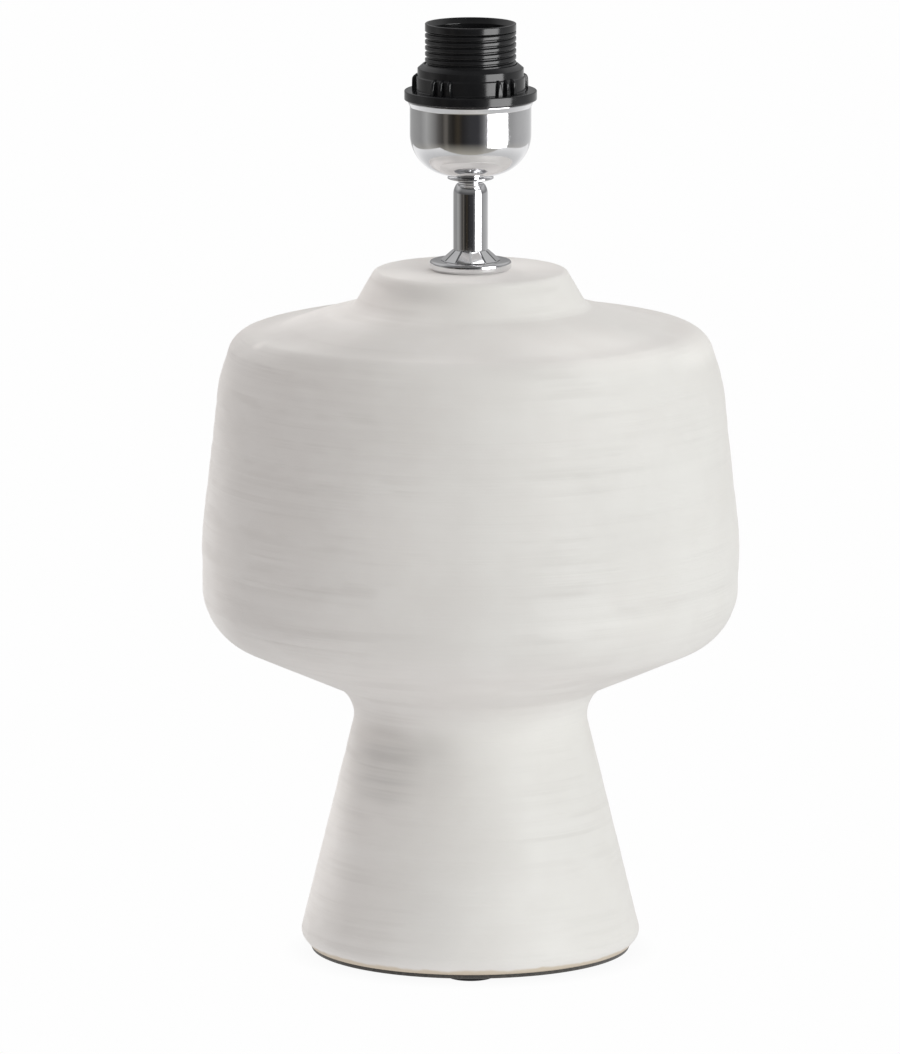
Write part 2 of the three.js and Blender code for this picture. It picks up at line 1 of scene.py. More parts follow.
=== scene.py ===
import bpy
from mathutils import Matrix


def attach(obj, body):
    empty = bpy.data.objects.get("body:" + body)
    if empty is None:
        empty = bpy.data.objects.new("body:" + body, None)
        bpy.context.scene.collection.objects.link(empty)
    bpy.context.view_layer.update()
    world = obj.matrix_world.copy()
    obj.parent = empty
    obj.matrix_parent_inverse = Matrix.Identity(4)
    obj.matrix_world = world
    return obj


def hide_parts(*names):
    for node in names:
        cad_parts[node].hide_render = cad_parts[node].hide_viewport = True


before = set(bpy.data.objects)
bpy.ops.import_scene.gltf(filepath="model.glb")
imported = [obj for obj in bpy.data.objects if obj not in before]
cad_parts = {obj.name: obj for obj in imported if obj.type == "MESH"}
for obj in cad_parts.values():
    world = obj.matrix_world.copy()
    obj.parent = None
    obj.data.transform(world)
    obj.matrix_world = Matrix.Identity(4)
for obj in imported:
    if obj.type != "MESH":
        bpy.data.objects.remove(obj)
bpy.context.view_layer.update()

import math

import bmesh
import bpy
from mathutils import Matrix, Vector, noise

mm = 0.001
scene = bpy.context.scene
scene.view_settings.view_transform = "Standard"

# Camera: five metres off, looking ten degrees down on the lamp.
photoCamera = {"place": (-0.0089, -5.0, 1.0665), "lookDown": 9.97, "lens": 398.8}


def placeCamera():
    data = bpy.data.cameras.new("photoCamera")
    data.lens = photoCamera["lens"]
    camera = bpy.data.objects.new("photoCamera", data)
    camera.location = photoCamera["place"]
    camera.rotation_euler = (math.radians(90 - photoCamera["lookDown"]), 0, 0)
    scene.collection.objects.link(camera)
    scene.camera = camera


placeCamera()
print("camera placed")

# Studio: a dark room in front of a white table, grey walls at the sides and behind, and a tall softbox on the right.
# Room tones go round from behind the lamp (-180) over its left (-90) and front (0) to its right (90), and the sky's
# tones go up from the horizon and are dimmer in front. Only reflections show them: matt surfaces take the ambient
# tones, which change with height and are lower behind.
studio = {
    "backdrop": 0.991,
    "ambientLow": (0.508, 0.490, 0.486),
    "ambientHigh": (0.476, 0.470, 0.466),
    "ambientBehind": 0.6,
    "room": [
        (-180, (0.95, 0.95, 0.95)),
        (-167, (0.60, 0.60, 0.60)),
        (-156, (0.40, 0.40, 0.40)),
        (-141, (0.36, 0.36, 0.355)),
        (-110, (0.30, 0.30, 0.295)),
        (-93, (0.42, 0.42, 0.41)),
        (-84, (0.33, 0.33, 0.32)),
        (-72, (0.21, 0.205, 0.20)),
        (-64, (0.11, 0.105, 0.10)),
        (-55, (0.060, 0.056, 0.052)),
        (-50, (0.13, 0.12, 0.108)),
        (-46, (0.13, 0.12, 0.108)),
        (-42, (0.044, 0.041, 0.037)),
        (-33, (0.020, 0.018, 0.016)),
        (-24, (0.046, 0.038, 0.028)),
        (-15, (0.022, 0.021, 0.021)),
        (0, (0.040, 0.040, 0.043)),
        (15, (0.042, 0.042, 0.046)),
        (23, (0.12, 0.12, 0.125)),
        (31, (0.30, 0.30, 0.305)),
        (78, (0.31, 0.31, 0.31)),
        (100, (0.43, 0.43, 0.43)),
        (122, (0.50, 0.50, 0.50)),
        (152, (0.64, 0.64, 0.64)),
        (168, (0.80, 0.80, 0.80)),
        (180, (0.95, 0.95, 0.95)),
    ],
    "sky": [
        (0.00, (0.30, 0.30, 0.30)),
        (0.08, (0.24, 0.24, 0.245)),
        (0.22, (0.36, 0.36, 0.36)),
        (0.42, (0.56, 0.56, 0.56)),
        (0.70, (0.56, 0.56, 0.56)),
        (0.86, (0.26, 0.26, 0.265)),
        (1.00, (0.13, 0.13, 0.135)),
    ],
    "frontSky": 0.38,
    "frontSpan": (-0.35, 0.25),
    "horizon": (-0.04, 0.03),
    "ambientRise": (-0.2, 1.0),
    "behindSpan": (0.0, 0.6),
    "floor": (0.52, 0.495, 0.43),
    "floorHeights": (-0.23, -0.85),
}


def mathNode(tree, operation, *values):
    node = tree.nodes.new("ShaderNodeMath")
    node.operation = operation
    for i, value in enumerate(values):
        if isinstance(value, bpy.types.NodeSocket):
            tree.links.new(value, node.inputs[i])
        else:
            node.inputs[i].default_value = value
    return node.outputs["Value"]


def vectorNode(tree, operation, first, second=None, result="Vector"):
    node = tree.nodes.new("ShaderNodeVectorMath")
    node.operation = operation
    tree.links.new(first, node.inputs[0])
    if second:
        node.inputs[1].default_value = second
    return node.outputs[result]


def rangeNode(tree, value, fromLow, fromHigh, toLow=0.0, toHigh=1.0, kind="SMOOTHSTEP"):
    node = tree.nodes.new("ShaderNodeMapRange")
    node.interpolation_type = kind
    tree.links.new(value, node.inputs["Value"])
    for name, amount in zip(("From Min", "From Max", "To Min", "To Max"), (fromLow, fromHigh, toLow, toHigh)):
        if isinstance(amount, bpy.types.NodeSocket):
            tree.links.new(amount, node.inputs[name])
        else:
            node.inputs[name].default_value = amount
    return node.outputs["Result"]


def mixColours(tree, share, first, second, blend="MIX"):
    node = tree.nodes.new("ShaderNodeMix")
    node.data_type = "RGBA"
    node.blend_type = blend
    for name, value in (("Factor_Float", share), ("A_Color", first), ("B_Color", second)):
        socket = next(s for s in node.inputs if s.identifier == name)
        if isinstance(value, bpy.types.NodeSocket):
            tree.links.new(value, socket)
        elif name == "Factor_Float":
            socket.default_value = value
        else:
            socket.default_value = (*value, 1)
    return next(s for s in node.outputs if s.identifier == "Result_Color")


def toneRamp(tree, value, tones):
    ramp = tree.nodes.new("ShaderNodeValToRGB")
    stops = ramp.color_ramp.elements
    for i, (place, colour) in enumerate(tones):
        stop = stops[0] if i == 0 else stops[len(stops) - 1] if i == len(tones) - 1 else stops.new(place)
        stop.position = place
        stop.color = (*colour, 1)
    tree.links.new(value, ramp.inputs["Fac"])
    return ramp.outputs["Color"]


def buildRoom():
    world = bpy.data.worlds.new("studioRoom")
    scene.world = world
    world.use_nodes = True
    world.cycles.sampling_method = "NONE"
    tree = world.node_tree
    tree.nodes.clear()
    direction = tree.nodes.new("ShaderNodeTexCoord").outputs["Generated"]
    split = tree.nodes.new("ShaderNodeSeparateXYZ")
    tree.links.new(direction, split.inputs["Vector"])
    across, away, height = (split.outputs[axis] for axis in "XYZ")
    bearing = mathNode(tree, "ARCTAN2", across, mathNode(tree, "MULTIPLY", away, -1.0))
    share = rangeNode(tree, bearing, -math.pi, math.pi, kind="LINEAR")
    walls = toneRamp(tree, share, [((degrees + 180) / 360, colour) for degrees, colour in studio["room"]])
    depth = rangeNode(tree, height, *studio["floorHeights"], kind="LINEAR")
    walls = mixColours(tree, depth, walls, studio["floor"])
    dim = rangeNode(tree, away, *studio["frontSpan"], studio["frontSky"], 1.0)
    sky = mixColours(tree, 1.0, toneRamp(tree, height, studio["sky"]), dim, "MULTIPLY")
    seen = mixColours(tree, rangeNode(tree, height, *studio["horizon"]), walls, sky)
    rays = tree.nodes.new("ShaderNodeLightPath")
    rise = rangeNode(tree, height, *studio["ambientRise"], kind="LINEAR")
    ambient = mixColours(tree, rise, studio["ambientLow"], studio["ambientHigh"])
    behind = rangeNode(tree, away, *studio["behindSpan"], 1.0, studio["ambientBehind"])
    ambient = mixColours(tree, 1.0, ambient, behind, "MULTIPLY")
    lit = mixColours(tree, rays.outputs["Is Glossy Ray"], ambient, seen)
    backdrop = studio["backdrop"]
    shown = mixColours(tree, rays.outputs["Is Camera Ray"], lit, (backdrop, backdrop, backdrop))
    light = tree.nodes.new("ShaderNodeBackground")
    tree.links.new(shown, light.inputs["Color"])
    output = tree.nodes.new("ShaderNodeOutputWorld")
    tree.links.new(light.outputs["Background"], output.inputs["Surface"])


# The softbox as the gloss shows it, and softer lights that only the matt surfaces take. They hang in metres and in
# degrees round from the front.
lamps = {
    "softbox": {"round": 54, "height": 0.40, "away": 2.2, "size": (1.66, 2.2), "radiance": 4.6, "gloss": True},
    "sideLight": {"round": 45, "height": 0.7, "away": 2.5, "size": (1.2, 1.2), "radiance": 4.2,
                  "tint": (0.90, 1.0, 0.975)},
    "rightLight": {"round": 75, "height": 0.85, "away": 2.5, "size": (1.2, 1.2), "radiance": 1.4,
                   "tint": (0.95, 1.0, 0.98)},
    "topLight": {"round": 40, "height": 2.6, "away": 0.8, "size": (1.2, 1.2), "radiance": 2.2},
    "rimLight": {"round": -122, "height": 1.5, "away": 2.3, "size": (1.0, 1.0), "radiance": 2.4},
    "backLight": {"round": -152, "height": 0.8, "away": 2.5, "size": (1.1, 1.1), "radiance": 8.0},
    "farLight": {"round": 150, "height": 1.6, "away": 2.2, "size": (1.2, 1.2), "radiance": 3.2},
}
lampAim = Vector((0, 0, 0.25))


def hangLamps():
    for name, lamp in lamps.items():
        gloss = lamp.get("gloss", False)
        data = bpy.data.lights.new(name, "AREA")
        data.shape = "RECTANGLE"
        data.size, data.size_y = lamp["size"]
        data.energy = lamp["radiance"] * data.size * data.size_y * math.pi
        data.color = lamp.get("tint", (1, 1, 1))
        hung = bpy.data.objects.new(name, data)
        turn = math.radians(lamp["round"])
        hung.location = (lamp["away"] * math.sin(turn), -lamp["away"] * math.cos(turn), lamp["height"])
        aim = lampAim - hung.location
        if gloss:
            aim.z = 0
        hung.rotation_euler = aim.to_track_quat("-Z", "Y").to_euler()
        hung.visible_camera = False
        hung.visible_glossy = gloss
        hung.visible_diffuse = not gloss
        scene.collection.objects.link(hung)


# White table: the camera sees it as bright as the backdrop. It is no lamp but glows, as painted light: one glow for
# reflections, brighter further from the lamp, and one for the light that it throws back. From below it is clear.
table = {
    "left": -0.72, "right": 0.8, "front": -0.365, "back": 1.3, "height": -0.00002,
    "sheen": 0.58, "farSheen": 0.95, "sheenSpan": (0.25, 0.95), "bounce": 0.85,
    "contactShade": 0.05, "shadeReach": 0.012,
}


def layTable():
    bm = bmesh.new()
    bmesh.ops.create_grid(bm, x_segments=1, y_segments=1, size=0.5)
    bmesh.ops.scale(bm, vec=(table["right"] - table["left"], table["back"] - table["front"], 1), verts=bm.verts[:])
    middle = ((table["left"] + table["right"]) / 2, (table["front"] + table["back"]) / 2, table["height"])
    bmesh.ops.translate(bm, vec=middle, verts=bm.verts[:])
    mesh = bpy.data.meshes.new("tableTop")
    bm.to_mesh(mesh)
    bm.free()
    top = bpy.data.objects.new("tableTop", mesh)
    scene.collection.objects.link(top)
    material = bpy.data.materials.new("whiteTable")
    material.use_nodes = True
    tree = material.node_tree
    tree.nodes.clear()
    near = tree.nodes.new("ShaderNodeAmbientOcclusion")
    near.inputs["Distance"].default_value = table["shadeReach"]
    shade = rangeNode(tree, near.outputs["AO"], 0.0, 1.0, 1 - table["contactShade"], 1.0, "LINEAR")
    rays = tree.nodes.new("ShaderNodeLightPath")
    seen = mathNode(tree, "MULTIPLY", shade, studio["backdrop"])
    distance = vectorNode(tree, "LENGTH", tree.nodes.new("ShaderNodeTexCoord").outputs["Object"], result="Value")
    sheen = rangeNode(tree, distance, *table["sheenSpan"], table["sheen"], table["farSheen"])
    unseen = rangeNode(tree, rays.outputs["Is Glossy Ray"], 0.0, 1.0, table["bounce"], sheen, "LINEAR")
    bright = rangeNode(tree, rays.outputs["Is Camera Ray"], 0.0, 1.0, unseen, seen, "LINEAR")
    glow = tree.nodes.new("ShaderNodeEmission")
    tree.links.new(bright, glow.inputs["Strength"])
    clear = tree.nodes.new("ShaderNodeBsdfTransparent")
    side = tree.nodes.new("ShaderNodeMixShader")
    tree.links.new(tree.nodes.new("ShaderNodeNewGeometry").outputs["Backfacing"], side.inputs["Fac"])
    tree.links.new(glow.outputs["Emission"], side.inputs[1])
    tree.links.new(clear.outputs["BSDF"], side.inputs[2])
    output = tree.nodes.new("ShaderNodeOutputMaterial")
    tree.links.new(side.outputs["Shader"], output.inputs["Surface"])
    mesh.materials.append(material)


buildRoom()
hangLamps()
layTable()
print("studio lit")


# Effects that several finishes share. All of them read places in millimetres.
effectLooks = {
    "toneDrift": {"detail": 3.0, "roughness": 0.55},
    "rubbedGloss": {"detail": 4.0, "roughness": 0.6, "span": (0.3, 0.7)},
    "fineGrain": {"detail": 2.0, "roughness": 0.5},
    "turningMarks": {"detail": 3.0, "roughness": 0.6, "stretch": 0.02},
}


def newGroup(name, numbers, colours, kind, result):
    group = bpy.data.node_groups.new(name, "ShaderNodeTree")
    group.interface.new_socket("Place", in_out="INPUT", socket_type="NodeSocketVector")
    for label in colours:
        group.interface.new_socket(label, in_out="INPUT", socket_type="NodeSocketColor")
    for label in numbers:
        group.interface.new_socket(label, in_out="INPUT", socket_type="NodeSocketFloat")
    group.interface.new_socket(result, in_out="OUTPUT", socket_type=kind)
    start = group.nodes.new("NodeGroupInput")
    end = group.nodes.new("NodeGroupOutput")
    return group, start.outputs, end.inputs[result]


def noiseNode(tree, place, scale, detail=2.0, roughness=0.5):
    node = tree.nodes.new("ShaderNodeTexNoise")
    tree.links.new(place, node.inputs["Vector"])
    if isinstance(scale, bpy.types.NodeSocket):
        tree.links.new(scale, node.inputs["Scale"])
    else:
        node.inputs["Scale"].default_value = scale
    node.inputs["Detail"].default_value = detail
    node.inputs["Roughness"].default_value = roughness
    return node.outputs["Fac"]


def sizedNoise(group, place, size, look):
    scale = mathNode(group, "DIVIDE", 1.0, size)
    return noiseNode(group, place, scale, look["detail"], look["roughness"])


def buildToneDrift(look):
    group, given, out = newGroup("toneDrift", ("Size", "Contrast"), ("Main", "Second"), "NodeSocketColor", "Colour")
    cloud = sizedNoise(group, given["Place"], given["Size"], look)
    low = mathNode(group, "SUBTRACT", 0.5, given["Contrast"])
    high = mathNode(group, "ADD", 0.5, given["Contrast"])
    share = rangeNode(group, cloud, low, high)
    group.links.new(mixColours(group, share, given["Main"], given["Second"]), out)
    return group


def buildRubbedGloss(look):
    group, given, out = newGroup("rubbedGloss", ("Size", "Low", "High"), (), "NodeSocketFloat", "Roughness")
    cloud = sizedNoise(group, given["Place"], given["Size"], look)
    group.links.new(rangeNode(group, cloud, *look["span"], given["Low"], given["High"]), out)
    return group


def buildFineGrain(look):
    group, given, out = newGroup("fineGrain", ("Size", "Depth"), (), "NodeSocketFloat", "Height")
    cloud = sizedNoise(group, given["Place"], given["Size"], look)
    group.links.new(mathNode(group, "MULTIPLY", cloud, given["Depth"]), out)
    return group


def buildTurningMarks(look):
    group, given, out = newGroup("turningMarks", ("Spacing", "Depth"), (), "NodeSocketFloat", "Height")
    flat = vectorNode(group, "MULTIPLY", given["Place"], (look["stretch"], look["stretch"], 1))
    lines = sizedNoise(group, flat, given["Spacing"], look)
    group.links.new(mathNode(group, "MULTIPLY", lines, given["Depth"]), out)
    return group


effects = {
    "toneDrift": buildToneDrift(effectLooks["toneDrift"]),
    "rubbedGloss": buildRubbedGloss(effectLooks["rubbedGloss"]),
    "fineGrain": buildFineGrain(effectLooks["fineGrain"]),
    "turningMarks": buildTurningMarks(effectLooks["turningMarks"]),
}


def useEffect(tree, effect, place, **values):
    node = tree.nodes.new("ShaderNodeGroup")
    node.node_tree = effects[effect]
    tree.links.new(place, node.inputs["Place"])
    for name, value in values.items():
        socket = node.inputs[name]
        if isinstance(value, bpy.types.NodeSocket):
            tree.links.new(value, socket)
        else:
            socket.default_value = (*value, 1) if isinstance(value, tuple) else value
    return node.outputs[0]


def newFinish(name):
    material = bpy.data.materials.new(name)
    material.use_nodes = True
    tree = material.node_tree
    tree.nodes.clear()
    shader = tree.nodes.new("ShaderNodeBsdfPrincipled")
    output = tree.nodes.new("ShaderNodeOutputMaterial")
    tree.links.new(shader.outputs["BSDF"], output.inputs["Surface"])
    coordinates = tree.nodes.new("ShaderNodeTexCoord")
    scaled = tree.nodes.new("ShaderNodeMapping")
    scaled.inputs["Scale"].default_value = (1000, 1000, 1000)  # metres to millimetres
    tree.links.new(coordinates.outputs["Object"], scaled.inputs["Vector"])
    return material, tree, shader, scaled.outputs["Vector"]


def bumpNode(tree, height, distance, before=None):
    node = tree.nodes.new("ShaderNodeBump")
    node.inputs["Strength"].default_value = 1.0
    node.inputs["Distance"].default_value = distance
    tree.links.new(height, node.inputs["Height"])
    if before:
        tree.links.new(before, node.inputs["Normal"])
    return node.outputs["Normal"]


def driftingColour(tree, place, look):
    return useEffect(tree, "toneDrift", place, Main=look["main"], Second=look["second"], Size=look["cloud"],
                     Contrast=look.get("contrast", 0.2))


def setGloss(tree, shader, place, look):
    low, high = look["rough"]
    gloss = useEffect(tree, "rubbedGloss", place, Size=look["smear"], Low=low, High=high)
    tree.links.new(gloss, shader.inputs["Roughness"])
    shader.inputs["IOR"].default_value = look.get("ior", 1.5)


# Plain finishes: two tones and the size of their clouds, low and high roughness and the size of its smears, and the
# size and depth of a grain or of turning marks, in millimetres.
finishLooks = {
    "blackPlastic": {
        "main": (0.008, 0.008, 0.009), "second": (0.013, 0.013, 0.014), "cloud": 9,
        "rough": (0.13, 0.20), "smear": 6, "grain": (0.6, 0.0015), "ior": 1.55,
    },
    "insulator": {
        "main": (0.016, 0.016, 0.017), "second": (0.026, 0.025, 0.024), "cloud": 5,
        "rough": (0.45, 0.6), "smear": 4, "grain": (0.4, 0.01),
    },
    "blackRubber": {
        "main": (0.014, 0.014, 0.014), "second": (0.024, 0.023, 0.022), "cloud": 4,
        "rough": (0.68, 0.85), "smear": 5, "grain": (0.3, 0.02), "ior": 1.45,
    },
    "chrome": {
        "main": (0.80, 0.80, 0.81), "second": (0.76, 0.76, 0.775), "cloud": 14,
        "rough": (0.07, 0.12), "smear": 7, "turning": (0.6, 0.0006), "metal": 1.0,
    },
    "zincSteel": {
        "main": (0.56, 0.57, 0.58), "second": (0.47, 0.47, 0.46), "cloud": 3,
        "rough": (0.28, 0.42), "smear": 2, "grain": (0.25, 0.006), "metal": 1.0,
    },
    "nickel": {
        "main": (0.64, 0.60, 0.52), "second": (0.56, 0.52, 0.44), "cloud": 4,
        "rough": (0.2, 0.34), "smear": 3, "turning": (0.35, 0.004), "metal": 1.0,
    },
    "brass": {
        "main": (0.62, 0.43, 0.17), "second": (0.50, 0.33, 0.13), "cloud": 2.5,
        "rough": (0.24, 0.38), "smear": 2, "grain": (0.2, 0.005), "metal": 1.0,
    },
}


def makeFinish(name):
    look = finishLooks[name]
    material, tree, shader, place = newFinish(name)
    tree.links.new(driftingColour(tree, place, look), shader.inputs["Base Color"])
    setGloss(tree, shader, place, look)
    shader.inputs["Metallic"].default_value = look.get("metal", 0.0)
    if "grain" in look:
        size, depth = look["grain"]
        height = useEffect(tree, "fineGrain", place, Size=size, Depth=1.0)
    else:
        size, depth = look["turning"]
        height = useEffect(tree, "turningMarks", place, Spacing=size, Depth=1.0)
    tree.links.new(bumpNode(tree, height, depth * mm), shader.inputs["Normal"])
    return material


# Glaze: warm white, with soft throwing ridges, fine darker streaks that are partly glaze pooled in the ridges and
# partly painted shade of the ridges at the sides, painted light and painted shade in soft patches, a painted rim light
# down the left side, and a bare clay edge at the foot. Lengths are in millimetres. A stretch below 1 draws a pattern
# out round the lamp, and a flatten above 1 squeezes it in height.
glazeLook = {
    "main": (0.827, 0.800, 0.776),
    "second": (0.802, 0.772, 0.747),
    "cloud": 38,
    "contrast": 0.16,
    "rough": (0.52, 0.64),
    "smear": 17,
    "specular": 0.28,
    "coat": 0.02,
    "coatRough": 0.30,
    "asideReach": 100.0,
    # Streaks: darker bands, partly glaze pooled in the ridges and partly painted shade of the ridges, kept to the
    # sides and faded on the right.
    "pooledStreakShade": {
        "colour": (0.774, 0.745, 0.720), "spacing": 5.0, "stretch": 0.6, "span": (0.46, 0.64), "aside": (0.08, 0.40),
        "fade": (48.0, 80.0), "faded": 0.15, "flatten": 3, "scale": 0.03, "patch": (0.4, 0.6),
    },
    # Streaking laid over the patches of painted shade.
    "shadeStreaks": {"spacing": 7.0, "span": (0.38, 0.62), "share": (0.5, 1.45), "darkerThan": -0.05},
    # Painted rim light: the glaze is made brighter towards the left edge.
    "paintedRimLight": {"span": (-98.0, -117.0), "rimBrightening": 0.20},
    "bareEdge": {"colour": (0.66, 0.57, 0.46), "top": 6.2, "blend": 1.6, "wave": 3.0, "scale": 0.12},
    "ridges": {
        "spacing": 6.5, "depth": 1.3, "stretch": 0.35, "aside": (0.1, 0.7), "least": 0.35,
        "flatten": 2.2, "scale": 0.022, "patch": (0.38, 0.68),
    },
    "fineRidges": {"spacing": 1.9, "depth": 0.15, "stretch": 0.5},
    "orangePeel": {"size": 2.2, "depth": 0.02},
    "brightestPaint": 1.2,
    "patchCore": 0.2,
    "paintedLightPatches": [  # middle, reach and how much painted light brightens (above 0) or painted shade darkens (below 0) the glaze there
        ((-36, -36, 88), (21, 40, 24), -0.14), ((-58, -80, 277), (52, 38, 12), -0.05),
        ((-66, -22, 277), (36, 38, 12), -0.07), ((60, -70, 277), (56, 52, 13), 0.14),
        ((-50, -18, 293), (30, 55, 17), 0.22), ((-24, -12, 302), (40, 44, 6), 0.12),
        ((-89, -34, 272), (6, 9, 2.6), 0.34), ((-64, 10, 281), (52, 95, 13), 0.19),
        ((-6, 12, 301), (62, 46, 5), 0.24), ((-69, 4, 60), (24, 110, 76), 0.28),
        ((-15, -45, 92), (17, 40, 20), -0.05), ((98, -24, 270), (22, 60, 9), 0.09),
        ((60, -92, 205), (42, 50, 44), -0.045), ((-30, -105, 202), (34, 50, 50), 0.04),
        ((-86, -50, 160), (30, 50, 24), -0.045), ((24, -88, 134), (56, 45, 15), 0.045),
        ((-18, -68, 24), (20, 30, 28), -0.035), ((-28, -44, 288), (32, 26, 8), 0.08),
        ((-24, -38, 295.5), (25, 24, 5.5), -0.05), ((-24, -30, 302), (36, 28, 3.4), 0.07),
        ((-54, -40, 112), (20, 60, 14), 0.05), ((10, -100, 284), (70, 60, 8), 0.05),
        ((30, -110, 172), (34, 40, 34), -0.022), ((-50, -98, 162), (32, 45, 17), 0.026),
        ((-84, -50, 139), (24, 45, 12), -0.04), ((-22, -42, 99), (20, 40, 10), -0.05),
        ((-40, -50, 6), (42, 45, 9), -0.045),
    ],
}


def stretchedMarks(tree, place, look):
    flat = vectorNode(tree, "MULTIPLY", place, (look["stretch"], look["stretch"], 1))
    return useEffect(tree, "turningMarks", flat, Spacing=look["spacing"], Depth=1.0)


def patchyShare(tree, place, look):
    flat = vectorNode(tree, "MULTIPLY", place, (1, 1, look["flatten"]))
    return rangeNode(tree, noiseNode(tree, flat, look["scale"]), *look["patch"])


# Darker streaks, partly glaze pooled in the ridges and partly painted shade of the ridges where light grazes the
# sides.
def pooledAndShadedStreaks(tree, place, across, aside):
    look = glazeLook["pooledStreakShade"]
    streaks = rangeNode(tree, stretchedMarks(tree, place, look), *look["span"])
    shares = (rangeNode(tree, aside, *look["aside"]), rangeNode(tree, across, *look["fade"], 1.0, look["faded"]),
              patchyShare(tree, place, look))
    for share in shares:
        streaks = mathNode(tree, "MULTIPLY", streaks, share)
    return streaks


# Painted light and painted shade multiplied into the glaze colour: a painted rim light on the left, and patches of
# painted light and shade, with the shade patches streaked.
def paintedGlazeLight(tree, place, across):
    look, shadeStreaks, edge = glazeLook, glazeLook["shadeStreaks"], glazeLook["paintedRimLight"]
    paintedLight = mathNode(tree, "ADD", 1.0, rangeNode(tree, across, *edge["span"], 0.0, edge["rimBrightening"]))
    shadeStreaking = useEffect(tree, "turningMarks", place, Spacing=shadeStreaks["spacing"], Depth=1.0)
    shadeStreaking = rangeNode(tree, shadeStreaking, *shadeStreaks["span"], *shadeStreaks["share"])
    for middle, reach, amount in look["paintedLightPatches"]:
        offset = vectorNode(tree, "SUBTRACT", place, middle)
        offset = vectorNode(tree, "MULTIPLY", offset, tuple(1 / size for size in reach))
        distance = vectorNode(tree, "LENGTH", offset, result="Value")
        cloud = rangeNode(tree, distance, look["patchCore"], 1.0, amount, 0.0)
        if amount < shadeStreaks["darkerThan"]:
            cloud = mathNode(tree, "MULTIPLY", cloud, shadeStreaking)
        paintedLight = mathNode(tree, "ADD", paintedLight, cloud)
    return mathNode(tree, "MINIMUM", paintedLight, look["brightestPaint"])


def glazeNormal(tree, place, aside):
    look, fine, peel = glazeLook["ridges"], glazeLook["fineRidges"], glazeLook["orangePeel"]
    share = rangeNode(tree, aside, *look["aside"], look["least"], 1.0)
    share = mathNode(tree, "MULTIPLY", patchyShare(tree, place, look), share)
    ridges = mathNode(tree, "MULTIPLY", stretchedMarks(tree, place, look), share)
    pores = useEffect(tree, "fineGrain", place, Size=peel["size"], Depth=1.0)
    normal = bumpNode(tree, ridges, look["depth"] * mm)
    normal = bumpNode(tree, stretchedMarks(tree, place, fine), fine["depth"] * mm, before=normal)
    return bumpNode(tree, pores, peel["depth"] * mm, before=normal)


def makeGlaze():
    look, edge = glazeLook, glazeLook["bareEdge"]
    material, tree, shader, place = newFinish("glaze")
    split = tree.nodes.new("ShaderNodeSeparateXYZ")
    tree.links.new(place, split.inputs["Vector"])
    across, height = split.outputs["X"], split.outputs["Z"]
    aside = mathNode(tree, "ABSOLUTE", mathNode(tree, "DIVIDE", across, look["asideReach"]))
    colour = driftingColour(tree, place, look)
    colour = mixColours(tree, pooledAndShadedStreaks(tree, place, across, aside), colour, look["pooledStreakShade"]["colour"])
    colour = mixColours(tree, 1.0, colour, paintedGlazeLight(tree, place, across), "MULTIPLY")
    wave = mathNode(tree, "MULTIPLY", noiseNode(tree, place, edge["scale"]), edge["wave"])
    wavy = mathNode(tree, "ADD", height, wave)
    bare = rangeNode(tree, wavy, edge["top"], edge["top"] + edge["blend"], 1.0, 0.0)
    colour = mixColours(tree, bare, colour, edge["colour"])
    tree.links.new(colour, shader.inputs["Base Color"])
    setGloss(tree, shader, place, look)
    shader.inputs["Specular IOR Level"].default_value = look["specular"]
    shader.inputs["Coat Weight"].default_value = look["coat"]
    shader.inputs["Coat Roughness"].default_value = look["coatRough"]
    tree.links.new(glazeNormal(tree, place, aside), shader.inputs["Normal"])
    return material


feltLook = {
    "main": (0.035, 0.031, 0.028), "second": (0.07, 0.063, 0.056), "cloud": 1.1, "rough": (0.85, 1.0), "smear": 3,
    "sheen": 0.3, "sheenRough": 0.6, "fibres": (0.35, 0.12),
}


def makeFelt():
    look = feltLook
    material, tree, shader, place = newFinish("felt")
    tree.links.new(driftingColour(tree, place, look), shader.inputs["Base Color"])
    setGloss(tree, shader, place, look)
    shader.inputs["Sheen Weight"].default_value = look["sheen"]
    shader.inputs["Sheen Roughness"].default_value = look["sheenRough"]
    size, depth = look["fibres"]
    fibres = useEffect(tree, "fineGrain", place, Size=size, Depth=1.0)
    tree.links.new(bumpNode(tree, fibres, depth * mm), shader.inputs["Normal"])
    return material


finishes = {name: makeFinish(name) for name in finishLooks}
finishes["glaze"] = makeGlaze()
finishes["felt"] = makeFelt()
print("finishes mixed")


# Outlines are lists of (radius, height, rounding) in millimetres, in the plane of the lamp's axis.
# A rounding takes up to the given share of each side, and neighbours that ask for more than a side has share it.
fullSide = 0.98


def drawOutline(bm, corners, closed=True, arcStep=9, share=fullSide):
    places = [Vector((corner[0] * mm, 0, corner[1] * mm)) for corner in corners]
    points = [bm.verts.new(place) for place in places]
    count = len(points)
    sides = [(i, (i + 1) % count) for i in range(count if closed else count - 1)]
    for i, k in sides:
        bm.edges.new((points[i], points[k]))
    halves = [(places[i - 1] - places[i]).angle(places[(i + 1) % count] - places[i]) / 2 for i in range(count)]
    wanted = [corner[2] * mm / math.tan(half) if len(corner) > 2 else 0 for corner, half in zip(corners, halves)]
    reaches = wanted[:]
    for i, k in sides:
        length = (places[k] - places[i]).length
        asked = wanted[i] + wanted[k]
        for n in (i, k):
            reaches[n] = min(reaches[n], share * length)
            if asked > fullSide * length:
                reaches[n] = min(reaches[n], fullSide * length * wanted[n] / asked)
    for point, half, reach in zip(points, halves, reaches):
        if reach > 0:
            steps = max(2, math.ceil(math.degrees(math.pi - 2 * half) / arcStep))
            bmesh.ops.bevel(bm, geom=[point], offset=reach, offset_type="OFFSET", segments=steps, profile=0.5,
                            affect="VERTICES", material=-1)


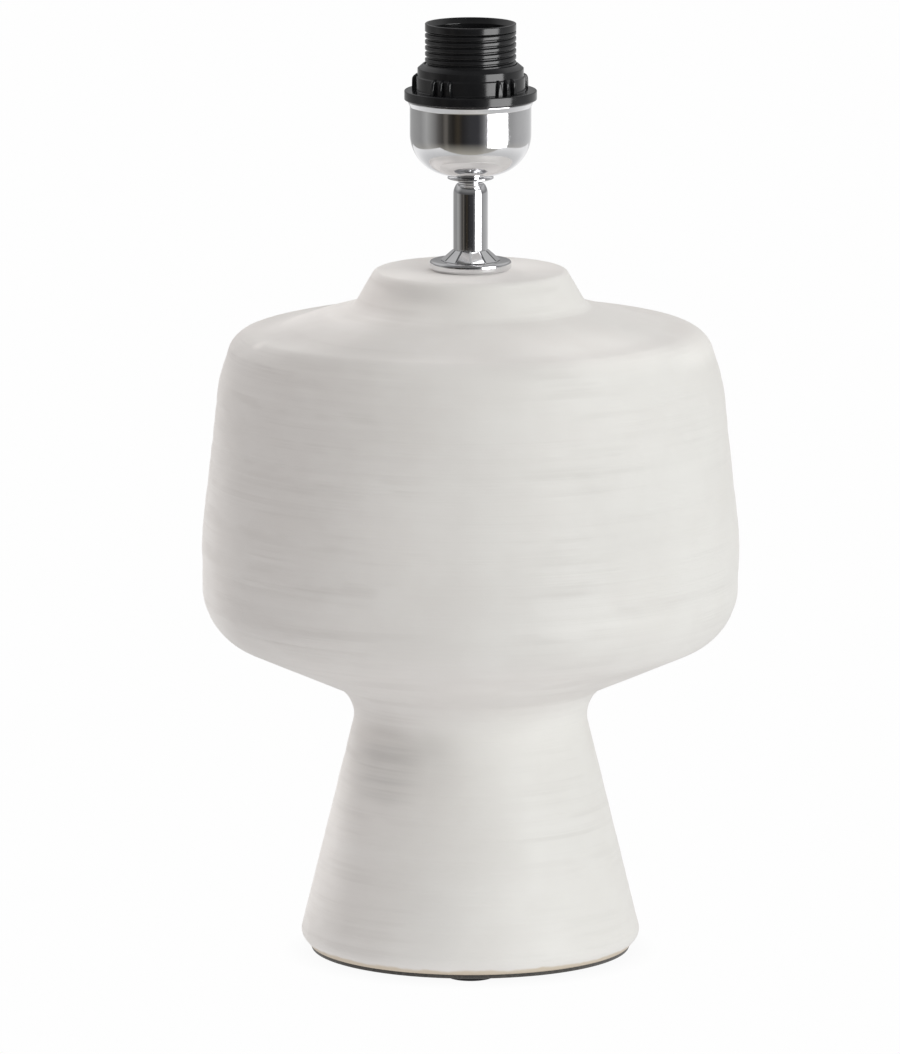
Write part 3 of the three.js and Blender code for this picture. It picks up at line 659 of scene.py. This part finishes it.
def splitLongEdges(bm, edges, longest):
    for edge in edges:
        cuts = int(edge.calc_length() / (longest * mm))
        if cuts:
            bmesh.ops.subdivide_edges(bm, edges=[edge], cuts=cuts)


mergeReach = 0.0005


def spinRound(bm, steps):
    bmesh.ops.spin(bm, geom=bm.verts[:] + bm.edges[:], cent=(0, 0, 0), axis=(0, 0, 1), dvec=(0, 0, 0),
                   angle=2 * math.pi, steps=steps, use_merge=True, use_normal_flip=False, use_duplicate=False)
    bmesh.ops.remove_doubles(bm, verts=bm.verts[:], dist=mergeReach * mm)
    bmesh.ops.recalc_face_normals(bm, faces=bm.faces[:])


def bevelEdges(bm, edges, width, steps):
    bmesh.ops.bevel(bm, geom=edges, offset=width * mm, offset_type="OFFSET", segments=steps, profile=0.5,
                    affect="EDGES", material=-1)


# Radius and height in millimetres, and the turn round the axis.
def roundPlace(vert):
    return math.hypot(vert.co.x, vert.co.y) / mm, vert.co.z / mm, math.atan2(vert.co.y, vert.co.x)


def pressIn(vert, radius, depth):
    shrink = 1 - depth / radius
    vert.co.x *= shrink
    vert.co.y *= shrink


def finishPiece(bm, name, finish, nodes, body="base", sharpAngle=32):
    mesh = bpy.data.meshes.new(name)
    bm.to_mesh(mesh)
    bm.free()
    mesh.shade_smooth()
    mesh.set_sharp_from_angle(angle=math.radians(sharpAngle))
    mesh.materials.append(finishes[finish])
    piece = bpy.data.objects.new(name, mesh)
    scene.collection.objects.link(piece)
    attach(piece, body)
    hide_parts(*nodes)
    return piece


def turnedPiece(name, node, finish, corners, steps=96, arcStep=12, closed=True):
    bm = bmesh.new()
    drawOutline(bm, corners, closed, arcStep)
    spinRound(bm, steps)
    finishPiece(bm, name, finish, [node])


# Ceramic body: outside, then inside a wall of 6 mm, with the throwing ridges pressed into the outside. Directions are
# in degrees from the front towards the right. A relief's turns and height say how fast it changes round the body and
# up it, and its shift keeps it apart from the others. The marks say how much of it shows in front and at the sides.
ceramic = {
    "outside": [
        (62, 3.5), (70, 3.5), (74.4, 8.6, 5), (48.45, 114.0, 15), (116.2, 144.3, 25), (117.3, 183.0, 60),
        (109.7, 252.6, 60), (102.7, 274.4, 15), (86.5, 275.8, 40), (50.8, 285.4, 6), (41.8, 300.8, 3), (5.8, 300.8),
    ],
    "inside": [
        (62, 3.5), (62, 9.5, 4), (66, 17.5), (41.4, 117.4, 21), (110.3, 148.2, 19), (111.3, 183.0, 54),
        (103.7, 251.6, 54), (98.4, 268.8, 9), (86.2, 269.8, 34), (46.6, 280.3, 12), (38.9, 293.8), (5.8, 293.8),
        (5.8, 300.8),
    ],
    "steps": 144,
    "outsideShare": 0.49,
    "outsideStep": 1.5,
    "insideStep": 12,
    "swell": {"depth": 0.75, "turns": 0.9, "height": 12, "shift": (0, 0)},
    "ripple": {"depth": 0.32, "turns": 1.3, "height": 4.8, "shift": (5, 0)},
    "patches": {"depth": 0.5, "turns": 1.6, "height": 35, "shift": (0, 9)},
    "wander": {"depth": 2.0, "turns": 1.4, "height": 1, "shift": (0, 0)},
    "marks": {"front": 0.4, "aside": 0.6, "rise": 1.8, "end": 1.1, "fall": 3},
    "pressed": {
        "radius": 20, "foot": 4, "footFade": 8, "top": 300.8, "topFade": 3, "topLeast": 0.2,
        "drum": (150, 272), "drumRadius": 100, "slopeShare": 0.6,
    },
    "grooveReach": 3,
    "grooves": [  # height, depth, half width, and the direction and spread of the arc in which it shows
        (270, 0.45, 3.2, -38, 30), (262, 0.30, 2.4, -50, 30), (255, 0.45, 2.4, -42, 34), (249, 0.42, 1.8, -38, 32),
        (242, 0.50, 2.0, -58, 34), (227, 0.60, 2.4, -52, 40), (218, 0.40, 1.8, -36, 30), (207, 0.62, 2.2, -48, 36),
        (197, 0.45, 2.0, -60, 34), (183, 0.50, 2.4, -40, 36), (174, 0.42, 2.0, -56, 30),
        (253, 0.42, 2.0, 52, 34), (239, 0.50, 2.2, 40, 36), (226, 0.55, 2.2, 56, 34), (218, 0.40, 1.8, 38, 28),
        (206, 0.55, 2.2, 48, 36), (193, 0.48, 2.2, 42, 36), (183, 0.42, 2.0, 58, 30), (165, 0.50, 2.4, 44, 40),
        (262, 0.45, 2.2, 160, 50), (231, 0.50, 2.2, 130, 45), (212, 0.50, 2.4, 200, 50), (188, 0.45, 2.2, 150, 45),
        (170, 0.50, 2.4, 215, 40), (106, 0.55, 2.4, -50, 45), (88, 0.50, 2.2, -70, 40), (62, 0.50, 2.2, 30, 40),
        (50, 0.55, 2.2, -35, 50), (38, 0.50, 2.2, 20, 60), (72, 0.45, 2.4, 170, 60), (25, 0.30, 2.2, 50, 40),
    ],
    "droop": {"depth": 1.7, "radius": 88, "width": 13, "direction": -108, "spread": 48, "from": 255, "over": 12},
    "cordHole": {"radius": 5.5, "steps": 48, "depth": 16, "tilt": 13.83, "place": (0, 66.82, 26.84)},
}


def relief(around, height, look):
    return noise.noise(around * look["turns"] + Vector((*look["shift"], height / look["height"])))


def degreesFrom(direction, turn):
    return (math.degrees(turn) + 90 - direction + 180) % 360 - 180


def throwingRelief(height, turn):
    look, marks, wander = ceramic, ceramic["marks"], ceramic["wander"]
    around = Vector((math.cos(turn), math.sin(turn), 0))
    aside = abs(around.x)
    patches = look["patches"]["depth"] * relief(around, height, look["patches"])
    side = min(1, aside * marks["rise"], (marks["end"] - aside) * marks["fall"])
    marked = marks["front"] + marks["aside"] * side + patches
    waves = (look[kind]["depth"] * (0.5 + 0.5 * relief(around, height, look[kind])) for kind in ("swell", "ripple"))
    inward = marked * sum(waves)
    for grooveHeight, depth, halfWidth, direction, spread in look["grooves"]:
        middle = grooveHeight + wander["depth"] * relief(around, grooveHeight, wander)
        away = (height - middle) / halfWidth
        if abs(away) <= look["grooveReach"]:
            offset = degreesFrom(direction, turn) / spread
            inward += depth * math.exp(-away * away) * math.exp(-offset * offset)
    return inward


def pressRelief(bm, outer):
    look, droop = ceramic["pressed"], ceramic["droop"]
    low, high = look["drum"]
    for vert in bm.verts:
        radius, height, turn = roundPlace(vert)
        if not vert[outer] or height < look["foot"] or radius < look["radius"]:
            continue
        fade = min(1, (height - look["foot"]) / look["footFade"],
                   (look["top"] - height) / look["topFade"] + look["topLeast"])
        inward = throwingRelief(height, turn) * fade * mm
        if height < low or height > high and radius < look["drumRadius"]:
            vert.co -= vert.normal * inward * look["slopeShare"]
        else:
            vert.co -= Vector((vert.co.x, vert.co.y, 0)).normalized() * inward
        if height > droop["from"]:
            away = (radius - droop["radius"]) / droop["width"]
            offset = degreesFrom(droop["direction"], turn) / droop["spread"]
            share = math.exp(-away * away - offset * offset) * min(1, (height - droop["from"]) / droop["over"])
            vert.co.z -= droop["depth"] * mm * share


def holeFrame():
    look = ceramic["cordHole"]
    return Matrix.Translation(Vector(look["place"]) * mm) @ Matrix.Rotation(math.radians(look["tilt"] - 90), 4, "X")


def boreCordHole(shell):
    look = ceramic["cordHole"]
    radius = look["radius"] * mm
    bm = bmesh.new()
    bmesh.ops.create_cone(bm, cap_ends=True, segments=look["steps"], radius1=radius, radius2=radius,
                          depth=look["depth"] * mm)
    bmesh.ops.transform(bm, matrix=holeFrame(), verts=bm.verts[:])
    mesh = bpy.data.meshes.new("cordHoleCutter")
    bm.to_mesh(mesh)
    bm.free()
    cutter = bpy.data.objects.new("cordHoleCutter", mesh)
    scene.collection.objects.link(cutter)
    hole = shell.modifiers.new("cordHole", "BOOLEAN")
    hole.operation = "DIFFERENCE"
    hole.solver = "EXACT"
    hole.object = cutter
    bpy.context.view_layer.update()
    bored = bpy.data.meshes.new_from_object(shell.evaluated_get(bpy.context.evaluated_depsgraph_get()))
    shell.modifiers.remove(hole)
    shell.data = bored
    bored.name = "thrown_body"
    bpy.data.objects.remove(cutter)


def makeCeramic():
    look = ceramic
    bm = bmesh.new()
    outer = bm.verts.layers.int.new("outer")
    drawOutline(bm, look["outside"], closed=False, arcStep=5, share=look["outsideShare"])
    splitLongEdges(bm, bm.edges[:], look["outsideStep"])
    for vert in bm.verts:
        vert[outer] = 1
    outsideEdges = set(bm.edges)
    drawOutline(bm, look["inside"], closed=False)
    splitLongEdges(bm, [edge for edge in bm.edges if edge not in outsideEdges], look["insideStep"])
    spinRound(bm, look["steps"])
    pressRelief(bm, outer)
    bm.normal_update()
    boreCordHole(finishPiece(bm, "thrown_body", "glaze", ["ceramic_body"], sharpAngle=50))


makeCeramic()
print("ceramic thrown")

# Under the foot: a felt disc, four pads and the bush of the cord hole.
underFoot = {
    "felt": [(0, 1.7), (69.5, 1.7, 0.5), (69.5, 3.5, 0.4), (0, 3.5)],
    "pad": [(0, 0.35), (3.2, 0.35, 0.2), (3.7, 0, 0.2), (9.7, 0, 0.35), (10.2, 0.5, 0.3), (10.2, 1.7), (0, 1.7)],
    "pads": 4,
    "padCircle": 56.5,
    "bush": [
        (3.5, -5.27, 0.5), (7.7, -5.27, 0.6), (7.7, -3.77, 0.2), (5.2, -3.77), (5.2, 3.3), (7.7, 3.3, 0.2),
        (7.7, 4.8, 0.6), (5.0, 4.8, 0.3), (4.6, 4.45, 0.3), (4.0, 4.45, 0.2), (3.5, 4.1, 0.2),
    ],
    "steps": 64,
}


def makeUnderFoot():
    look = underFoot
    turnedPiece("felt_disc", "base_felt", "felt", look["felt"], steps=128, closed=False)
    reach = look["padCircle"] * mm
    for i in range(look["pads"]):
        bm = bmesh.new()
        drawOutline(bm, look["pad"], closed=False, arcStep=15)
        spinRound(bm, look["steps"])
        turn = 2 * math.pi * i / look["pads"] - math.pi / 2
        bmesh.ops.translate(bm, vec=(reach * math.cos(turn), reach * math.sin(turn), 0), verts=bm.verts[:])
        finishPiece(bm, f"pad_{i + 1}", "blackRubber", [f"foot_pad_{i + 1}"])
    bm = bmesh.new()
    drawOutline(bm, look["bush"], arcStep=15)
    spinRound(bm, look["steps"])
    bmesh.ops.transform(bm, matrix=holeFrame(), verts=bm.verts[:])
    finishPiece(bm, "cord_bush", "blackRubber", ["cord_grommet"])


makeUnderFoot()
print("foot dressed")

# Chrome between the ceramic and the lampholder.
chromeWork = {
    "cap": [(5.15, 300.8), (16.7, 300.8), (17.75, 301.9, 0.6), (17.75, 305.0, 1.0), (13.6, 305.0), (5.15, 305.0)],
    "tube": [
        (6.5, 309.8), (7.5, 309.8, 0.15), (7.5, 335.6, 5.0), (6.3, 338.1, 2.2), (5.6, 338.6, 0.3), (5.15, 338.6),
        (5.15, 337.4), (6.5, 333.8, 1.6),
    ],
    "collar": [(5.15, 338.6), (5.4, 338.6), (5.4, 339.5, 1.6), (8.8, 340.3, 0.12), (8.8, 340.6, 0.12), (5.15, 340.6)],
    "washer": [(5.15, 340.6), (10, 340.6, 0.25), (10, 341.4, 0.25), (5.15, 341.4)],
    "cup": [
        (5.15, 341.4), (5.85, 341.4, 0.2), (5.85, 342.3, 0.15), (26.3, 342.3, 18.0), (26.3, 372.2, 1.6),
        (27.25, 374.3, 0.3), (27.25, 374.8, 0.2), (25.5, 374.8, 0.4), (25.5, 343.1, 17.2), (5.15, 343.1),
    ],
    "seat": [(5.33, 305.0), (13.25, 305.0), (7.75, 309.8), (5.33, 309.8)],
    "facets": {"count": 12, "sharp": 0.2, "bore": 7, "edge": 0.5},
    "grooves": {"depth": 0.45, "width": 0.02, "heights": (305.3, 309.7)},
    "rod": [(3.5, 282.3, 0.3), (4.98, 282.3, 0.5), (4.98, 352.0, 0.5), (3.5, 352.0, 0.3)],
    "rodThread": {"pitch": 1.0, "depth": 0.5, "step": 0.25, "crest": 4.9, "heights": (283, 351), "steps": 36},
}


def makeSeat():
    facets, grooves = chromeWork["facets"], chromeWork["grooves"]
    low, high = grooves["heights"]
    bm = bmesh.new()
    drawOutline(bm, chromeWork["seat"])
    spinRound(bm, facets["count"])
    sharp = [edge for edge in bm.edges if len(edge.link_faces) == 2 and edge.calc_face_angle() > facets["sharp"]
             and min(roundPlace(vert)[0] for vert in edge.verts) > facets["bore"]]
    bevelEdges(bm, sharp, facets["edge"], 2)
    for vert in bm.verts:
        radius, height, turn = roundPlace(vert)
        facet = turn / (2 * math.pi) * facets["count"]
        if radius > facets["bore"] and abs(facet - round(facet)) < grooves["width"] and low < height < high:
            pressIn(vert, radius, grooves["depth"])
    finishPiece(bm, "faceted_seat", "chrome", ["seat_ring"], sharpAngle=12)


def makeRod():
    thread = chromeWork["rodThread"]
    low, high = thread["heights"]
    bm = bmesh.new()
    drawOutline(bm, chromeWork["rod"], arcStep=30)
    splitLongEdges(bm, bm.edges[:], thread["step"])
    spinRound(bm, thread["steps"])
    for vert in bm.verts:
        radius, height, turn = roundPlace(vert)
        if radius >= thread["crest"] and low <= height <= high:
            phase = (height / thread["pitch"] - turn / (2 * math.pi)) % 1
            pressIn(vert, radius, thread["depth"] * (1 - abs(2 * phase - 1)))
    finishPiece(bm, "threaded_rod", "zincSteel", ["m10_nipple"], sharpAngle=60)


def makeChromeWork():
    look = chromeWork
    turnedPiece("cap_disc", "vase_cap", "chrome", look["cap"], steps=128)
    turnedPiece("neck_sleeve", "neck_tube", "chrome", look["tube"])
    turnedPiece("trumpet", "flared_collar", "chrome", look["collar"])
    turnedPiece("thin_washer", "neck_washer", "chrome", look["washer"])
    turnedPiece("polished_cup", "holder_cup", "chrome", look["cup"], steps=160, arcStep=4)
    makeSeat()
    makeRod()


makeChromeWork()
print("chrome turned")

# Lampholder: the barrel with its outside thread, the shade ring with its ribs, and the sleeve that takes the bulb.
holder = {
    "barrel": [
        (17.5, 366.4), (19.0, 366.4, 0.2), (19.0, 367.2, 0.2), (18.72, 367.5), (18.72, 404.9, 0.1),
        (19.75, 405.5, 0.2), (19.75, 408.4, 0.4), (18.7, 408.4, 0.25), (17.3, 406.0, 0.6), (17.3, 398.4, 0.8),
        (14.4, 398.0, 0.3), (14.2, 396.4, 0.2), (17.5, 396.4, 0.3),
    ],
    "thread": [  # one turn of the outside thread, with its crest in the middle
        (18.70, 403.02), (18.70, 403.17, 0.08), (19.75, 403.68, 0.3), (19.75, 405.0, 0.3), (18.70, 405.51, 0.08),
        (18.70, 405.66),
    ],
    "threadPitch": 2.64,
    "threadSteps": 112,
    "threadTurns": 16,
    "threadMerge": 0.02,
    "threadEnds": (367.4, 405.2),
    "ringSteps": 128,
    "ring": [
        (20.05, 375.1, 0.2), (28.7, 375.1, 0.5), (28.7, 379.3, 0.5), (23.6, 379.3, 0.3), (23.6, 385.2, 0.25),
        (23.0, 385.7, 0.15), (23.0, 388.9, 0.4), (20.7, 390.8, 0.3), (20.05, 390.8, 0.1),
    ],
    "groups": 5,
    "groupTurn": 22,
    "rib": {
        "inner": 22.0, "outer": 25.4, "base": 378.5, "top": 386.1, "width": 1.9, "pitch": 9.5,
        "arch": 2.4, "archSteps": 7, "round": 0.85, "roundSteps": 5, "sharp": 1.2, "hair": 0.001,
    },
    "sleeve": [
        (8.0, 380.4, 0.1), (14.0, 380.4, 0.7), (14.0, 396.4, 0.15), (13.5, 396.4, 0.15), (13.5, 380.9, 0.4),
        (8.0, 380.9, 0.1),
    ],
    "knuckle": {
        "pitch": 3.63, "depth": 1.0, "wall": 13.4, "step": 0.33, "radius": 13.3, "steps": 84,
        "low": 381.4, "lowFade": 1.5, "high": 396.3, "highFade": 0.8,
    },
}


def vertsOf(geometry):
    return [item for item in geometry if isinstance(item, bmesh.types.BMVert)]


def makeBarrel():
    look = holder
    pitch, steps = look["threadPitch"] * mm, look["threadSteps"]
    bm = bmesh.new()
    drawOutline(bm, look["thread"], closed=False, arcStep=22)
    bmesh.ops.spin(bm, geom=bm.verts[:] + bm.edges[:], cent=(0, 0, 0), axis=(0, 0, 1), dvec=(0, 0, pitch / steps),
                   angle=2 * math.pi, steps=steps, use_merge=False, use_normal_flip=False, use_duplicate=False)
    turn = bm.verts[:] + bm.edges[:] + bm.faces[:]
    for i in range(1, look["threadTurns"]):
        grown = bmesh.ops.duplicate(bm, geom=turn)["geom"]
        bmesh.ops.translate(bm, vec=(0, 0, -pitch * i), verts=vertsOf(grown))
    bmesh.ops.remove_doubles(bm, verts=bm.verts[:], dist=look["threadMerge"] * mm)
    for height, side in zip(look["threadEnds"], (-1, 1)):
        bmesh.ops.bisect_plane(bm, geom=bm.verts[:] + bm.edges[:] + bm.faces[:], dist=0,
                               plane_co=(0, 0, height * mm), plane_no=(0, 0, side), clear_outer=True)
    bmesh.ops.recalc_face_normals(bm, faces=bm.faces[:])
    if max(bm.faces, key=lambda face: face.calc_center_median().x).normal.x < 0:
        bmesh.ops.reverse_faces(bm, faces=bm.faces[:])
    thread = bpy.data.meshes.new("barrelThread")
    bm.to_mesh(thread)
    bm.free()
    bm = bmesh.new()
    drawOutline(bm, look["barrel"], arcStep=15)
    spinRound(bm, steps)
    bm.from_mesh(thread)
    finishPiece(bm, "screw_barrel", "blackPlastic", ["threaded_barrel"], sharpAngle=50)


def edgesOf(verts):
    return {edge for vert in verts for edge in vert.link_edges}


def makeRib(bm, degrees):
    look = holder["rib"]
    inner, outer, base, top, width = (look[name] * mm for name in ("inner", "outer", "base", "top", "width"))
    hair = look["hair"] * mm
    corners = [bm.verts.new((x, -width / 2, z)) for x, z in ((inner, base), (outer, base), (outer, top), (inner, top))]
    side = bm.faces.new(corners)
    far = vertsOf(bmesh.ops.extrude_face_region(bm, geom=[side])["geom"])
    bmesh.ops.translate(bm, vec=(0, width, 0), verts=far)
    verts = corners + far
    bmesh.ops.recalc_face_normals(bm, faces=list({face for vert in verts for face in vert.link_faces}))
    arch = [edge for edge in edgesOf(verts)
            if all(vert.co.x > outer - hair and vert.co.z > top - hair for vert in edge.verts)]
    before = set(bm.verts) - set(verts)
    bevelEdges(bm, arch, look["arch"], look["archSteps"])
    verts = [vert for vert in bm.verts if vert not in before]
    rims = [edge for edge in edgesOf(verts)
            if len(edge.link_faces) == 2 and edge.calc_face_angle() > look["sharp"]
            and all(vert.co.x > inner + hair and vert.co.z > base + hair or vert.co.z > top - hair
                    for vert in edge.verts)]
    bevelEdges(bm, rims, look["round"], look["roundSteps"])
    verts = [vert for vert in bm.verts if vert not in before]
    bmesh.ops.rotate(bm, cent=(0, 0, 0), matrix=Matrix.Rotation(math.radians(degrees), 3, "Z"), verts=verts)


def makeRing():
    look = holder
    bm = bmesh.new()
    drawOutline(bm, look["ring"], arcStep=15)
    spinRound(bm, look["ringSteps"])
    for group in range(look["groups"]):
        for i in (-1, 0, 1):
            makeRib(bm, look["groupTurn"] + 360 / look["groups"] * group + i * look["rib"]["pitch"])
    finishPiece(bm, "ribbed_ring", "blackPlastic", ["shade_ring"], body="ring", sharpAngle=40)


def makeSleeve():
    look = holder["knuckle"]
    bm = bmesh.new()
    drawOutline(bm, holder["sleeve"], arcStep=20)
    wall = [edge for edge in bm.edges if all(vert.co.x > look["wall"] * mm for vert in edge.verts)]
    splitLongEdges(bm, wall, look["step"])
    spinRound(bm, look["steps"])
    for vert in bm.verts:
        radius, height, turn = roundPlace(vert)
        if radius < look["radius"]:
            continue
        phase = (height / look["pitch"] - turn / (2 * math.pi)) % 1
        fade = min(1, (height - look["low"]) / look["lowFade"], (look["high"] - height) / look["highFade"])
        pressIn(vert, radius, look["depth"] * (0.5 - 0.5 * math.cos(2 * math.pi * phase)) * max(0, fade))
    bmesh.ops.recalc_face_normals(bm, faces=bm.faces[:])
    finishPiece(bm, "knuckle_sleeve", "nickel", ["screw_sleeve"], sharpAngle=50)


makeBarrel()
makeRing()
makeSleeve()
print("lampholder built")

# Nodes whose shape is right keep it and take a finish.
dressed = {
    "rubber_washer": "blackRubber", "steel_washer": "zincSteel", "base_nut": "zincSteel", "cup_nut": "zincSteel",
    "holder_dome": "blackPlastic", "contact_block": "insulator", "live_foot": "brass", "centre_contact": "brass",
    "live_rivet": "brass", "neutral_rivet": "brass", "live_terminal": "brass", "neutral_terminal": "brass",
    "live_screw": "zincSteel", "neutral_screw": "zincSteel",
}


def dressNodes():
    for name, finish in dressed.items():
        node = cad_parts[name]
        if not node.material_slots:
            node.data.materials.append(None)
        for spot in node.material_slots:
            spot.material = finishes[finish]


dressNodes()
print("nodes dressed")
